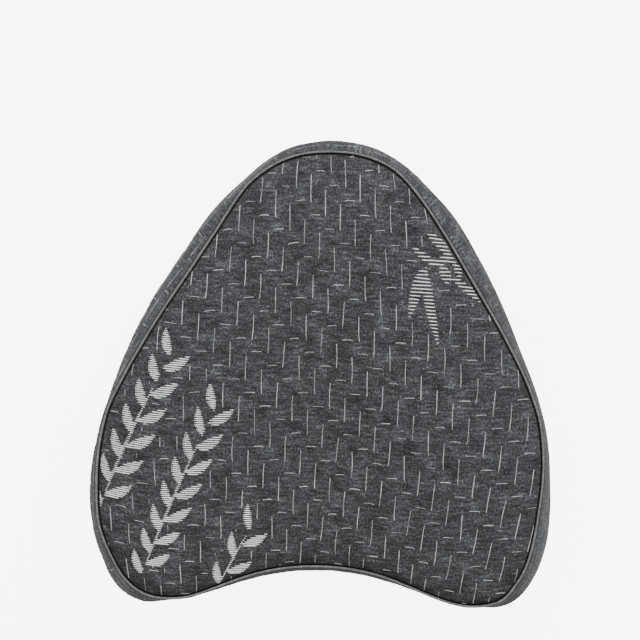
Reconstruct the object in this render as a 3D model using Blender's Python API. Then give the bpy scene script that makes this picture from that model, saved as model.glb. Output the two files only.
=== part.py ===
"""A heart-shaped, wedge-thick leg pillow lying on its back.

The pillow is a foam wedge, tall at its two rounded lobes and thin at its tip. Its cover has a
front panel, a matching back panel and a boxing strip between them, sewn together along two
heart-shaped seams. A corded piping is sewn into each seam. Both faces have a shallow trough down
the middle, where a leg lies, and a rounded ridge at each side of it.

The shape is worked out in the pillow's own frame, which its mid-plane halves: across, along
towards the tip, and height above the mid-plane. It is then tipped by the wedge's half angle, so
that the back face lies on the surface z = 0.
"""

import math
from collections import namedtuple

import bmesh
import bpy
import numpy as np
from mathutils import Matrix

# Main sizes in metres
HALF_ANGLE = math.radians(8.5)
TIP_HALF_HEIGHT = 0.0145
PIPING_RADIUS = 0.0015
CROWN = 0.0065
CROWN_REACH = 0.0095
BOXING_FULLNESS = 2.2
TROUGH_DEPTH = 0.0125
TROUGH_HALF_WIDTH = 0.046
FLATTENED = 0.0016

# The trough is deepest near the lobes and is gone this far towards the tip
TROUGH_DEEP_AT = -0.085
TROUGH_GONE_AT = 0.080

# Linear colours and roughness of the two cloths
JERSEY_COLOUR = (0.070, 0.073, 0.078)
JERSEY_ROUGHNESS = 0.92
CORD_COLOUR = (0.145, 0.147, 0.152)
CORD_ROUGHNESS = 0.88

# How finely the pillow is divided
STATIONS = 84
PIPING_ROUNDNESS = 2
FACE_STEPS = (0.18, 0.38, 0.56, 0.71, 0.83, 0.92, 0.97)
BOXING_STEPS = (0.78, 0.5, 0.25)

# The front seam as seen on the face, from the tip down the right side to the notch, and how far
# the boxing strip stands out beyond it at the mid-plane
SeamPoint = namedtuple("SeamPoint", "across along bulge")
SEAM = (
    SeamPoint(0.0000, 0.1205, 0.0080),
    SeamPoint(0.0250, 0.1155, 0.0075),
    SeamPoint(0.0470, 0.0985, 0.0070),
    SeamPoint(0.0770, 0.0545, 0.0085),
    SeamPoint(0.1035, 0.0110, 0.0050),
    SeamPoint(0.1175, -0.0235, 0.0040),
    SeamPoint(0.1215, -0.0545, 0.0055),
    SeamPoint(0.1180, -0.0850, 0.0080),
    SeamPoint(0.1065, -0.1095, 0.0105),
    SeamPoint(0.0860, -0.1212, 0.0085),
    SeamPoint(0.0600, -0.1170, 0.0065),
    SeamPoint(0.0330, -0.1082, 0.0060),
    SeamPoint(0.0000, -0.1045, 0.0060),
)

# The plan's middle, from which the faces spread out to the seam
HUB_ALONG = -0.020

# The cut of the seam groove, as offsets outwards and upwards from the piping's centre
GROOVE_FACE_LIP = (-0.0023, 0.0007)
GROOVE_BOTTOM = (-0.0014, -0.0014)
GROOVE_BOXING_LIP = (0.0007, -0.0023)


def clear_scene():
    """Remove whatever the scene held before."""
    for old in list(bpy.data.objects):
        bpy.data.objects.remove(old, do_unlink=True)


def fabric(name, colour, roughness):
    """Make the material of one piece of the cover."""
    material = bpy.data.materials.new(name)
    material.use_nodes = True
    shader = material.node_tree.nodes["Principled BSDF"]
    shader.inputs["Base Color"].default_value = (*colour, 1.0)
    shader.inputs["Roughness"].default_value = roughness
    shader.inputs["Metallic"].default_value = 0.0
    material.diffuse_color = (*colour, 1.0)
    return material


def closed_curve_slopes(values, spans):
    """Find the slopes that make a closed curve through the values bend smoothly."""
    count = len(values)
    matrix = np.zeros((count, count))
    target = np.zeros(values.shape)
    for index in range(count):
        before = spans[index - 1]
        after = spans[index]
        following = (index + 1) % count
        matrix[index, index - 1] = after
        matrix[index, index] = 2.0 * (before + after)
        matrix[index, following] = before
        rise_before = (values[index] - values[index - 1]) / before
        rise_after = (values[following] - values[index]) / after
        target[index] = 3.0 * (after * rise_before + before * rise_after)
    return np.linalg.solve(matrix, target)


def closed_curve(values, samples_per_span=60):
    """Sample the smooth closed curve through rows of across, along and any further columns."""
    following = np.roll(values, -1, axis=0)
    spans = np.hypot(following[:, 0] - values[:, 0], following[:, 1] - values[:, 1])
    slopes = closed_curve_slopes(values, spans)
    samples = []
    for index, span in enumerate(spans):
        start = values[index]
        end = following[index]
        start_slope = slopes[index] * span
        end_slope = slopes[(index + 1) % len(values)] * span
        for step in range(samples_per_span):
            t = step / samples_per_span
            samples.append(
                (2 * t**3 - 3 * t**2 + 1) * start
                + (t**3 - 2 * t**2 + t) * start_slope
                + (3 * t**2 - 2 * t**3) * end
                + (t**3 - t**2) * end_slope
            )
    return np.array(samples)


def evenly_spaced(samples, count):
    """Pick count rows at equal distances along a closed curve, starting at its first row."""
    closed = np.vstack([samples, samples[:1]])
    steps = np.hypot(np.diff(closed[:, 0]), np.diff(closed[:, 1]))
    travelled = np.concatenate([[0.0], np.cumsum(steps)])
    wanted = np.arange(count) * travelled[-1] / count
    columns = []
    for column in range(closed.shape[1]):
        columns.append(np.interp(wanted, travelled, closed[:, column]))
    return np.stack(columns, axis=1)


def seam_samples():
    """Sample the whole heart-shaped seam, running down its left side and up its right side."""
    left = []
    for point in SEAM:
        left.append((-point.across, point.along, point.bulge))
    right = []
    for point in reversed(SEAM[1:-1]):
        right.append((point.across, point.along, point.bulge))
    return closed_curve(np.array(left + right))


def outward_directions(plan):
    """Give the direction that points out of a closed plan curve at each of its points."""
    along_curve = np.roll(plan, -1, axis=0) - np.roll(plan, 1, axis=0)
    outward = np.stack([along_curve[:, 1], -along_curve[:, 0]], axis=1)
    return outward / np.linalg.norm(outward, axis=1)[:, None]


def smooth_step(start, end, value):
    """Rise softly from 0 at start to 1 at end."""
    t = np.clip((value - start) / (end - start), 0.0, 1.0)
    return t * t * (3.0 - 2.0 * t)


def seam_height(across, along):
    """Give the height above the mid-plane of the seams' level: the wedge less its trough."""
    tip_along = SEAM[0].along
    wedge = TIP_HALF_HEIGHT + (tip_along - along) * math.tan(HALF_ANGLE)
    depth = TROUGH_DEPTH * (1.0 - smooth_step(TROUGH_DEEP_AT, TROUGH_GONE_AT, along))
    return wedge - depth * np.exp(-((across / TROUGH_HALF_WIDTH) ** 2))


def distance_to(curve, points):
    """Give each point's distance to the nearest sample of a curve."""
    apart = points[:, None, :] - curve[None, :, :]
    return np.sqrt((apart**2).sum(axis=2)).min(axis=1)


def ring(plan, height):
    """Join a plan curve and its heights into one ring of points."""
    return np.column_stack([plan, height])


def front_half_rings(seam, outward, bulge, curve):
    """List the rings from the middle of the front face to just short of the mid-plane."""
    hub = np.array([0.0, HUB_ALONG])
    level = seam_height(seam[:, 0], seam[:, 1])
    lip_plan = seam + GROOVE_FACE_LIP[0] * outward
    rings = []
    for step in FACE_STEPS:
        plan = hub + step * (lip_plan - hub)
        inside = distance_to(curve, plan) + GROOVE_FACE_LIP[0]
        rise = CROWN - (CROWN - GROOVE_FACE_LIP[1]) * np.exp(-inside / CROWN_REACH)
        rings.append(ring(plan, seam_height(plan[:, 0], plan[:, 1]) + rise))
    for sideways, upwards in (GROOVE_FACE_LIP, GROOVE_BOTTOM, GROOVE_BOXING_LIP):
        rings.append(ring(seam + sideways * outward, level + upwards))
    top_of_boxing = level + GROOVE_BOXING_LIP[1]
    for step in BOXING_STEPS:
        fullness = 1.0 - step**BOXING_FULLNESS
        swell = GROOVE_BOXING_LIP[0] + (bulge - GROOVE_BOXING_LIP[0]) * fullness
        rings.append(ring(seam + swell[:, None] * outward, top_of_boxing * step))
    return rings


def mirrored(points):
    """Mirror points through the mid-plane."""
    return points * np.array([1.0, 1.0, -1.0])


def pillow_mesh(rings_to_middle, middle_ring, pole):
    """Build the closed skin: the front half's rings, the mid-plane ring and the back half's."""
    mesh = bmesh.new()
    back_half = [mirrored(points) for points in reversed(rings_to_middle)]
    levels = rings_to_middle + [middle_ring] + back_half
    rows = [[mesh.verts.new(point) for point in points] for points in levels]
    front_pole = mesh.verts.new(pole)
    back_pole = mesh.verts.new(mirrored(pole))
    count = len(rows[0])
    for index in range(count):
        following = (index + 1) % count
        mesh.faces.new((front_pole, rows[0][index], rows[0][following]))
        mesh.faces.new((back_pole, rows[-1][following], rows[-1][index]))
        for upper, lower in zip(rows, rows[1:]):
            mesh.faces.new((upper[index], lower[index], lower[following], upper[following]))
    return mesh


def lie_down(points, shift):
    """Tip points of the pillow's frame on to their back and move them by shift."""
    turn = np.array(Matrix.Rotation(-HALF_ANGLE, 3, "X"))
    return np.asarray(points) @ turn.T + shift


def resting_shift(points):
    """Find the move that centres the tipped points and sinks their lowest to be flattened."""
    tipped = lie_down(points, 0.0)
    middle_along = (tipped[:, 1].min() + tipped[:, 1].max()) / 2.0
    return np.array([0.0, -middle_along, -tipped[:, 2].min() - FLATTENED])


def add_pillow(collection, parent, rings, middle, pole, shift, material):
    """Add the filled body, flattened where it rests on the surface."""
    shape = pillow_mesh(rings, middle, pole)
    resting = lie_down([vertex.co[:] for vertex in shape.verts], shift)
    for vertex, place in zip(shape.verts, resting):
        vertex.co = (place[0], place[1], max(place[2], 0.0))
    bmesh.ops.recalc_face_normals(shape, faces=shape.faces)
    data = bpy.data.meshes.new("pillow")
    shape.to_mesh(data)
    shape.free()
    data.materials.append(material)
    data.shade_smooth()
    pillow = bpy.data.objects.new("pillow", data)
    pillow.parent = parent
    collection.objects.link(pillow)
    return pillow


def add_piping(name, collection, parent, points, shift, material):
    """Add one corded piping that runs all the way round its seam."""
    resting = lie_down(points, shift)
    curve = bpy.data.curves.new(name, "CURVE")
    curve.dimensions = "3D"
    curve.bevel_depth = PIPING_RADIUS
    curve.bevel_resolution = PIPING_ROUNDNESS
    spline = curve.splines.new("POLY")
    spline.points.add(len(resting) - 1)
    for point, place in zip(spline.points, resting):
        point.co = (place[0], place[1], place[2], 1.0)
    spline.use_cyclic_u = True
    spline.use_smooth = True
    curve.materials.append(material)
    piping = bpy.data.objects.new(name, curve)
    piping.parent = parent
    collection.objects.link(piping)
    return piping


def build():
    """Build the pillow and its two pipings."""
    clear_scene()
    collection = bpy.data.collections.new("leg_pillow")
    bpy.context.scene.collection.children.link(collection)
    parent = bpy.data.objects.new("leg_pillow_frame", None)
    collection.objects.link(parent)

    curve = seam_samples()
    stations = evenly_spaced(curve, STATIONS)
    seam = stations[:, :2]
    bulge = stations[:, 2]
    outward = outward_directions(seam)

    rings = front_half_rings(seam, outward, bulge, curve[:, :2])
    middle = ring(seam + bulge[:, None] * outward, np.zeros(STATIONS))
    hub_height = seam_height(0.0, HUB_ALONG) + CROWN
    pole = np.array([0.0, HUB_ALONG, hub_height])

    back_rings = [mirrored(points) for points in rings]
    shift = resting_shift(np.vstack(rings + back_rings + [middle]))

    jersey = fabric("charcoal_heather_jersey", JERSEY_COLOUR, JERSEY_ROUGHNESS)
    cord = fabric("grey_cord_cover", CORD_COLOUR, CORD_ROUGHNESS)
    add_pillow(collection, parent, rings, middle, pole, shift, jersey)
    front_seam = ring(seam, seam_height(seam[:, 0], seam[:, 1]))
    add_piping("front_piping", collection, parent, front_seam, shift, cord)
    add_piping("back_piping", collection, parent, mirrored(front_seam), shift, cord)


build()
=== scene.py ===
# %% [markdown]
# # A heart-shaped leg pillow and its sewn cover
# The real pillow is a wedge of soft foam in a knitted cover. The cover is three cut pieces: a
# front panel, a back panel of the same shape and a boxing strip between them, with a thin
# corded piping in each of the two seams. This lesson loads the plain construction model and
# dresses it, one piece and one finish at a time, in the same place and at the same size.

# %% Load the construction model
import math
from collections import namedtuple

import bmesh
import bpy
import numpy as np
from mathutils import Matrix, Vector, noise
from mathutils.bvhtree import BVHTree
from mathutils.kdtree import KDTree


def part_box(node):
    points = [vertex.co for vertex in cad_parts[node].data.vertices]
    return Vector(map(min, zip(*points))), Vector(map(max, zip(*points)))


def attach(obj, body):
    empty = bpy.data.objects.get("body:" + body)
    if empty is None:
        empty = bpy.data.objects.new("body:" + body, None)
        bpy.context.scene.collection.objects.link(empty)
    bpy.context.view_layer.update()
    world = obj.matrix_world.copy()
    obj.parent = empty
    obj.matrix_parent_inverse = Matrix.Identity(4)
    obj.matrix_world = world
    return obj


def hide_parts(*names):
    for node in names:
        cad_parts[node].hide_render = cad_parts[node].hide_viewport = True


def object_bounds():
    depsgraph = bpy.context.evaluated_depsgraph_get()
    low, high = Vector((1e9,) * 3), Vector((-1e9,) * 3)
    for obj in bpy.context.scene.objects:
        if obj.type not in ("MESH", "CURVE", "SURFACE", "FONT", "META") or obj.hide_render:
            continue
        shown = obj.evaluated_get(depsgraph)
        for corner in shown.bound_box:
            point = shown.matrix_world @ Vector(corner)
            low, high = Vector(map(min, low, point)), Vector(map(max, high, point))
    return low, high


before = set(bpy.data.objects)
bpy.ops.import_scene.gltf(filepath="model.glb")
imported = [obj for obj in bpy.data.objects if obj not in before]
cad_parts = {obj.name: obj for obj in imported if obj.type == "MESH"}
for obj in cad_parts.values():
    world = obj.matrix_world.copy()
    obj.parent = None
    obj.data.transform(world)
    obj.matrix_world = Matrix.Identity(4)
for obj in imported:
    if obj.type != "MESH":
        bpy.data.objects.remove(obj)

cad_box = [list(corner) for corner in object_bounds()]
print("construction model, lowest and highest corner:", cad_box)

# %% [markdown]
# ## Where the camera stands
# The pillow lies on its back and is seen square on, from far away through a long lens, so that
# near and far parts have nearly the same scale. The camera leans a little towards the pointed
# end, which brings the strip beside the upper edges into sight.

# %% Set up the camera
CAMERA_LEAN = math.radians(13.0)
CAMERA_ROLL = math.radians(1.7)
CAMERA_DISTANCE = 2.2
SENSOR_WIDTH_MM = 36.0
PICTURE_WIDTH_PX = 640.0
PICTURE_MIDDLE_PX = (320.0, 320.0)
FOCUS_PX = 4021.0
PILLOW_MIDDLE_PX = (324.7, 384.2)
AIM_HEIGHT = 0.060


def add_to_scene(name, data):
    """Add a camera, a light or a mesh to the scene."""
    made = bpy.data.objects.new(name, data)
    bpy.context.scene.collection.objects.link(made)
    return made


def add_camera():
    """Add the camera, aimed so that the pillow's middle falls on its named pixel."""
    lean_away = Vector((0.0, math.sin(CAMERA_LEAN), math.cos(CAMERA_LEAN)))
    level_up = Vector((0.0, math.cos(CAMERA_LEAN), -math.sin(CAMERA_LEAN)))
    level_right = Vector((1.0, 0.0, 0.0))
    right = level_right * math.cos(CAMERA_ROLL) + level_up * math.sin(CAMERA_ROLL)
    up = level_up * math.cos(CAMERA_ROLL) - level_right * math.sin(CAMERA_ROLL)
    middle = Vector((0.0, (cad_box[0][1] + cad_box[1][1]) / 2.0, AIM_HEIGHT))
    place = middle + lean_away * CAMERA_DISTANCE
    metres_per_px = CAMERA_DISTANCE / FOCUS_PX
    aside = (PICTURE_MIDDLE_PX[0] - PILLOW_MIDDLE_PX[0]) * metres_per_px
    above = (PILLOW_MIDDLE_PX[1] - PICTURE_MIDDLE_PX[1]) * metres_per_px
    aim = middle + right * aside + up * above
    backward = (place - aim).normalized()
    across = up.cross(backward).normalized()
    turn = Matrix((across, backward.cross(across), backward)).transposed()
    lens = bpy.data.cameras.new("studio_camera")
    lens.sensor_width = SENSOR_WIDTH_MM
    lens.lens = FOCUS_PX * SENSOR_WIDTH_MM / PICTURE_WIDTH_PX
    camera = add_to_scene("studio_camera", lens)
    camera.matrix_world = Matrix.Translation(place) @ turn.to_4x4()
    bpy.context.scene.camera = camera
    return camera


camera = add_camera()
print("lens in mm:", round(camera.data.lens, 1), "camera height:", round(camera.location.z, 3))

# %% [markdown]
# ## The pattern pieces
# A maker starts from a paper pattern. Here it is a short table of points on the seam line, from
# the pointed end to the notch, with how far the boxing strip stands out at each. One smooth
# closed curve runs through them and their mirror images. The other sizes are the wedge's angle,
# the shallow trough where a leg lies, and the crown that the foam gives each face at its seam.

# %% Pattern sizes in metres
HALF_ANGLE = math.radians(8.5)
TIP_HALF_HEIGHT = 0.0145
CROWN = 0.0041
CROWN_REACH = 0.0110
EDGE_ROLL = 0.0020
EDGE_ROLL_REACH = 0.0019
TROUGH_DEPTH = 0.0125
TROUGH_HALF_WIDTH = 0.046
TROUGH_DEEP_AT = -0.085
TROUGH_GONE_AT = 0.080
HUB_ALONG = -0.020
BOXING_FULLNESS = 2.2
CORD_RADIUS = 0.00065

SEAM_MM = (  # across, along and how far the boxing stands out
    (0.0, 120.5, 8.0), (25.0, 115.5, 7.5), (47.0, 98.5, 7.0), (77.0, 54.5, 8.5),
    (103.5, 11.0, 5.0), (117.5, -23.5, 4.0), (121.5, -54.5, 5.5), (118.0, -85.0, 8.0),
    (106.5, -109.5, 10.5), (86.0, -121.2, 8.5), (60.0, -117.0, 6.5), (33.0, -108.2, 6.0),
    (0.0, -104.5, 6.0),
)
SAMPLES_PER_SPAN = 60


# %% Draw the closed seam curve
def closed_curve(rows):
    """Sample the smooth closed curve through rows of across, along and bulge."""
    following = np.roll(rows, -1, axis=0)
    after = np.hypot(*(following - rows)[:, :2].T)
    before = np.roll(after, 1)
    rise = (following - rows) / after[:, None]
    rise_before = np.roll(rise, 1, axis=0)
    matrix = np.diag(2.0 * (before + after))
    matrix += np.roll(np.diag(after), -1, axis=1) + np.roll(np.diag(before), 1, axis=1)
    target = 3.0 * (after[:, None] * rise_before + before[:, None] * rise)
    slopes = np.linalg.solve(matrix, target)[:, None]
    t = (np.arange(SAMPLES_PER_SPAN) / SAMPLES_PER_SPAN)[None, :, None]
    span = after[:, None, None]
    pieces = (
        (2 * t**3 - 3 * t**2 + 1) * rows[:, None]
        + (t**3 - 2 * t**2 + t) * slopes * span
        + (3 * t**2 - 2 * t**3) * following[:, None]
        + (t**3 - t**2) * np.roll(slopes, -1, axis=0) * span
    )
    return pieces.reshape(-1, rows.shape[1])


def seam_rows():
    """List the table's points all round: down the left side and up the right side."""
    left = np.array(SEAM_MM) * (-0.001, 0.001, 0.001)
    return np.vstack([left, left[-2:0:-1] * (-1.0, 1.0, 1.0)])


def runs_along(curve):
    """Give how far round each point of a closed curve lies, and last its whole length."""
    steps = np.hypot(*(np.roll(curve, -1, axis=0) - curve)[:, :2].T)
    return np.concatenate([[0.0], np.cumsum(steps)])


pattern_curve = closed_curve(seam_rows())
pattern_run = runs_along(pattern_curve)
print("pattern's seam in metres:", round(pattern_run[-1], 4))

# %% [markdown]
# ## A seam sewn by hand and eye
# The pattern is symmetrical, but a sewn cover is not: the seam wanders as the piping is fed in,
# and the soft boxing stands out further in one place than in another. A short table says this
# to the nearest half millimetre. Station 0 is the pointed end and 120 the notch, left side first.

# %% Let the sewn seam wander
STATION_COUNT = 240.0
SEWN_ROWS = (  # station, wander outwards and how far the boxing stands out, both in mm
    (0, 1.5, 6), (15, 2, 3), (20, 0, 6.5), (24, -1, 8.5), (38, -0.5, 8), (47, -1, 6.5),
    (53, -0.5, 4.5), (58, 1, 1.5), (62, 1, 2), (71, 1, 5.5), (77, 2, 6), (83, 0, 8.5),
    (88, 1, 11), (91, 1, 10.5), (94.5, 0, 4), (98, 0.5, 2.5), (106, -0.5, 5), (131, -1, 5.5),
    (143, -0.5, 1), (147, 0, 3.5), (151, 2, 10), (153.5, 0, 11.5), (162, -2, 10.5),
    (167, -2.5, 8.5), (172, -1.5, 5.5), (182, 1, 3), (193, 1, 4.5), (205, 1.5, 9),
    (218, 1, 10), (223, 1.5, 7.5), (229, 3, 5),
)
EASE_STATIONS = 2.5
EASE_SAMPLES = 17
OUTWARD_REACH = 0.002


def unit(vectors):
    """Scale vectors to length one."""
    return vectors / np.linalg.norm(vectors, axis=-1, keepdims=True)


def out_of(ahead):
    """Give the directions out of an outline from the directions along it."""
    return unit(np.stack([ahead[..., 1], -ahead[..., 0]], axis=-1))


def eased_round(stations, values, samples):
    """Draw an eased closed line through values at stations round the seam."""
    shifts = np.linspace(-EASE_STATIONS, EASE_STATIONS, EASE_SAMPLES)
    weights = np.cos(shifts / EASE_STATIONS * math.pi / 2.0) ** 2
    shifted = [np.interp(samples + s, stations, values, period=STATION_COUNT) for s in shifts]
    return np.average(shifted, axis=0, weights=weights)


def sewn_curve():
    """Move the pattern's seam to where it was sewn, and give the boxing its stand-out."""
    stations, wander, stand_out = np.array(SEWN_ROWS).T
    samples = pattern_run[:-1] / pattern_run[-1] * STATION_COUNT
    ahead = np.roll(pattern_curve, -3, axis=0) - np.roll(pattern_curve, 3, axis=0)
    moved = eased_round(stations, wander, samples) / 1000.0
    plan = pattern_curve[:, :2] + out_of(ahead) * moved[:, None]
    return np.column_stack([plan, eased_round(stations, stand_out, samples) / 1000.0])


seam_curve = sewn_curve()
seam_run = runs_along(seam_curve)
SEAM_LENGTH = seam_run[-1]
print("sewn seam in metres:", round(SEAM_LENGTH, 4))


def seam_at(runs):
    """Give across, along and bulge at distances along the seam."""
    closed = np.vstack([seam_curve, seam_curve[:1]])
    wrapped = np.mod(runs, SEAM_LENGTH)
    columns = [np.interp(wrapped, seam_run, closed[:, column]) for column in range(3)]
    return np.stack(columns, axis=-1)


def outward_at(runs):
    """Give the directions that point out of the outline at distances along the seam."""
    return out_of(seam_at(runs + OUTWARD_REACH) - seam_at(runs - OUTWARD_REACH))


def circle_at(runs):
    """Give places on a circle of radius one at distances along the seam."""
    turns = 2.0 * math.pi * runs / SEAM_LENGTH
    return np.column_stack([np.cos(turns), np.sin(turns)])


seam_tree = KDTree(len(seam_curve))
for index, row in enumerate(seam_curve):
    seam_tree.insert((row[0], row[1], 0.0), index)
seam_tree.balance()


def nearest_on_seam(points):
    """Give the plan distances to the seam and how far round it the nearest points lie."""
    found = [seam_tree.find((point[0], point[1], 0.0))[1:] for point in points]
    indices, distances = np.array(found).T
    return distances, seam_run[indices.astype(int)]


# %% Work out heights and the lying position
def smooth_step(start, end, value):
    """Rise softly from 0 at start to 1 at end."""
    t = np.clip((value - start) / (end - start), 0.0, 1.0)
    return t * t * (3.0 - 2.0 * t)


def seam_level(across, along):
    """Give the seams' height above the mid-plane: the wedge less its trough."""
    wedge = TIP_HALF_HEIGHT + (SEAM_MM[0][1] / 1000.0 - along) * math.tan(HALF_ANGLE)
    depth = TROUGH_DEPTH * (1.0 - smooth_step(TROUGH_DEEP_AT, TROUGH_GONE_AT, along))
    return wedge - depth * np.exp(-((across / TROUGH_HALF_WIDTH) ** 2))


TURN = np.array(Matrix.Rotation(-HALF_ANGLE, 3, "X"))


def find_shift():
    """Find the move from the tipped frame to the pillow's place, from the piping's box."""
    level = seam_level(pattern_curve[:, 0], pattern_curve[:, 1])
    ring = np.column_stack([pattern_curve[:, :2], level]) @ TURN.T
    boxes = np.array([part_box("front_piping"), (ring.min(axis=0), ring.max(axis=0))])
    shift = np.subtract(*boxes.mean(axis=1))
    shift[0] = 0.0
    return shift


SHIFT = find_shift()
print("shift in mm:", [round(float(value) * 1000, 2) for value in SHIFT])


def lying(points):
    """Bring points of the pillow's own frame to where it lies."""
    return np.asarray(points) @ TURN.T + SHIFT


def own_frame(points):
    """Bring points of the lying pillow back to its own frame."""
    return (np.asarray(points) - SHIFT) @ TURN


def mirrored(points):
    """Mirror points through the mid-plane, from the front half to the back half."""
    return points * np.array([1.0, 1.0, -1.0])


# %% [markdown]
# ## The cover as one padded skin
# A cover pulled over foam could start as a remeshed block, but a remesh loses the seams. So the
# skin is laid out as rings that follow the seam, close together near it, with an even grid in
# the middle of each face. The rings dip under each piping, as the seam allowance does.

# %% Lay out the rings and the middle grids
STATIONS = 176
SIDE = STATIONS // 4
FACE_STEPS = (0.60, 0.68, 0.75, 0.81, 0.86, 0.90, 0.93, 0.952, 0.968, 0.980, 0.990)
FACE_LIP = (-0.0015, 0.0004)
SEAM_FOLD = ((-0.0015, 0.0004), (-0.0013, -0.0009), (-0.0010, -0.0018),
             (-0.0005, -0.0009), (0.0000, 0.0002), (0.0008, -0.0013))
BOXING_LEVELS = (0.98, 0.93, 0.84, 0.7, 0.52, 0.33, 0.13)
FRONT, BOXING, BACK, FOLD = 0, 1, 2, 3


def face_points(plan):
    """Lift plan points on to the front face with its crown and its rolled edge."""
    gaps = np.maximum(nearest_on_seam(plan)[0] + FACE_LIP[0], 0.0)
    crown = CROWN * (1.0 - np.exp(-gaps / CROWN_REACH))
    roll = EDGE_ROLL * (1.0 - np.exp(-gaps / EDGE_ROLL_REACH))
    level = seam_level(plan[:, 0], plan[:, 1])
    return np.column_stack([plan, level + FACE_LIP[1] + crown + roll])


def front_rings():
    """List the front face's rings, from its middle grid's edge to the bottom of the seam."""
    runs = np.arange(STATIONS) * SEAM_LENGTH / STATIONS
    seam = seam_at(runs)
    outward = outward_at(runs)
    plan = seam[:, :2]
    hub = np.array([0.0, HUB_ALONG])
    lip = plan + FACE_LIP[0] * outward
    level = seam_level(plan[:, 0], plan[:, 1])
    rings = [face_points(hub + step * (lip - hub)) for step in FACE_STEPS]
    fold = [np.column_stack([plan + out * outward, level + up]) for out, up in SEAM_FOLD]
    strip = []
    top = level + SEAM_FOLD[-1][1]
    for share in BOXING_LEVELS:
        out = SEAM_FOLD[-1][0] + (seam[:, 2] - SEAM_FOLD[-1][0]) * (1.0 - share**BOXING_FULLNESS)
        strip.append(np.column_stack([plan + out[:, None] * outward, top * share]))
    return rings, fold, strip


def ring_sides():
    """Say which points of a ring lie on the grid's four sides: tip, notch, right and left."""
    corner, steps = STATIONS // 8, np.arange(SIDE + 1)
    starts_ways = ((-corner, 1), (5 * corner, -1), (-corner, -1), (corner, 1))
    return [(start + way * steps) % STATIONS for start, way in starts_ways]


def middle_grid(ring):
    """Fill a ring with an even grid of points, blended from its four sides."""
    tip_side, notch_side, right_side, left_side = (ring[side] for side in ring_sides())
    steps = np.arange(SIDE + 1)
    u = (steps / SIDE)[:, None, None]
    v = (steps / SIDE)[None, :, None]
    blend = (1 - v) * tip_side[:, None] + v * notch_side[:, None]
    blend = blend + (1 - u) * right_side[None] + u * left_side[None]
    blend = blend - (1 - u) * (1 - v) * tip_side[0] - u * (1 - v) * tip_side[-1]
    blend = blend - (1 - u) * v * notch_side[0] - u * v * notch_side[-1]
    return blend


def grid_index(first_ring, first_inner):
    """Number the grid's points: its border is the ring and the rest follow first_inner."""
    numbers = np.zeros((SIDE + 1, SIDE + 1), int)
    inner = np.arange((SIDE - 1) ** 2).reshape(SIDE - 1, SIDE - 1)
    numbers[1:-1, 1:-1] = first_inner + inner
    numbers[:, 0], numbers[:, -1], numbers[0], numbers[-1] = np.array(ring_sides()) + first_ring
    return numbers


def cover_mesh():
    """Build the cover's closed skin and list the points that the seams hold."""
    rings, fold, strip = front_rings()
    front = rings + fold + strip
    levels = front + [mirrored(points) for points in reversed(front)]
    grid = middle_grid(rings[0])[1:-1, 1:-1].reshape(-1, 3)
    grid = face_points(grid[:, :2])
    points = np.vstack(levels + [grid, mirrored(grid)])
    back_grid_start = len(levels) * STATIONS + len(grid)
    faces, panels = [], []
    # The seam fold's faces, FOLD, get a darker material that is painted shade.
    fold_end = len(rings) + len(fold)
    here = np.arange(STATIONS)
    there = (here + 1) % STATIONS
    for level in range(len(levels) - 1):
        from_edge = min(level, len(levels) - 2 - level)
        panel = BOXING
        if from_edge < len(rings):
            panel = FRONT if level == from_edge else BACK
        elif from_edge < fold_end:
            panel = FOLD
        upper, lower = level * STATIONS, (level + 1) * STATIONS
        faces.append(np.column_stack([upper + here, lower + here, lower + there, upper + there]))
        panels.append(panel)
    last_ring = (len(levels) - 1) * STATIONS
    for ring_start, inner_start, panel in (
        (0, len(levels) * STATIONS, FRONT), (last_ring, back_grid_start, BACK)
    ):
        number = grid_index(ring_start, inner_start)
        corners = (number[:-1, :-1], number[1:, :-1], number[1:, 1:], number[:-1, 1:])
        quads = np.stack(corners, axis=-1).reshape(-1, 4)
        faces.append(quads if panel == FRONT else quads[:, ::-1])
        panels.append(panel)
    panels = np.repeat(panels, [len(part) for part in faces])
    held = []
    for level in range(len(rings), fold_end):
        for mate in (level, len(levels) - 1 - level):
            held.extend(range(mate * STATIONS, (mate + 1) * STATIONS))
    return lying(points), np.vstack(faces), panels, held


def closed_mesh(name, points, faces, grain=None):
    """Make a closed mesh, with a grain map if one is given, and turn its faces outwards."""
    data = bpy.data.meshes.new(name)
    data.from_pydata(points, [], faces)
    if grain is not None:
        data.uv_layers.new(name="grain").uv.foreach_set("vector", grain.ravel())
    skin = bmesh.new()
    skin.from_mesh(data)
    bmesh.ops.recalc_face_normals(skin, faces=skin.faces)
    skin.to_mesh(data)
    skin.free()
    return data


def add_cover():
    """Add the cover as an object, with each face numbered by its cut piece."""
    points, faces, panels, held = cover_mesh()
    data = closed_mesh("pillow_cover", points.tolist(), faces.tolist())
    data.polygons.foreach_set("material_index", panels)
    return add_to_scene("pillow_cover", data), held


cover, held_points = add_cover()
print("cover:", len(cover.data.vertices), "points,", len(cover.data.polygons), "faces")

# %% [markdown]
# ## Letting the foam push
# Foam presses its cover outwards everywhere except where the seams hold it. Blender's cloth
# simulation does the same with a little pressure and no gravity, while the seams are pinned.
# The foam is firm, so the movement is capped at a few millimetres.

# %% Puff the cover with a short cloth simulation
PUFF_FRAMES = 20
PUFF_PRESSURE = 4.0
PUFF_CAP = 0.0022
PUFF_SETTINGS = {
    "use_pressure": True, "uniform_pressure_force": PUFF_PRESSURE, "quality": 5, "mass": 0.25,
    "tension_stiffness": 12.0, "compression_stiffness": 12.0, "shear_stiffness": 6.0,
    "bending_stiffness": 0.4, "vertex_group_mass": "sewn",
}


def read_array(items, name, per_item=1, kind=float):
    """Read one property of all of a mesh's points, corners or faces."""
    values = np.empty(len(items) * per_item, kind)
    items.foreach_get(name, values)
    return values


def mesh_points(data):
    """Read a mesh's points as an array."""
    return read_array(data.vertices, "co", 3).reshape(-1, 3)


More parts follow.
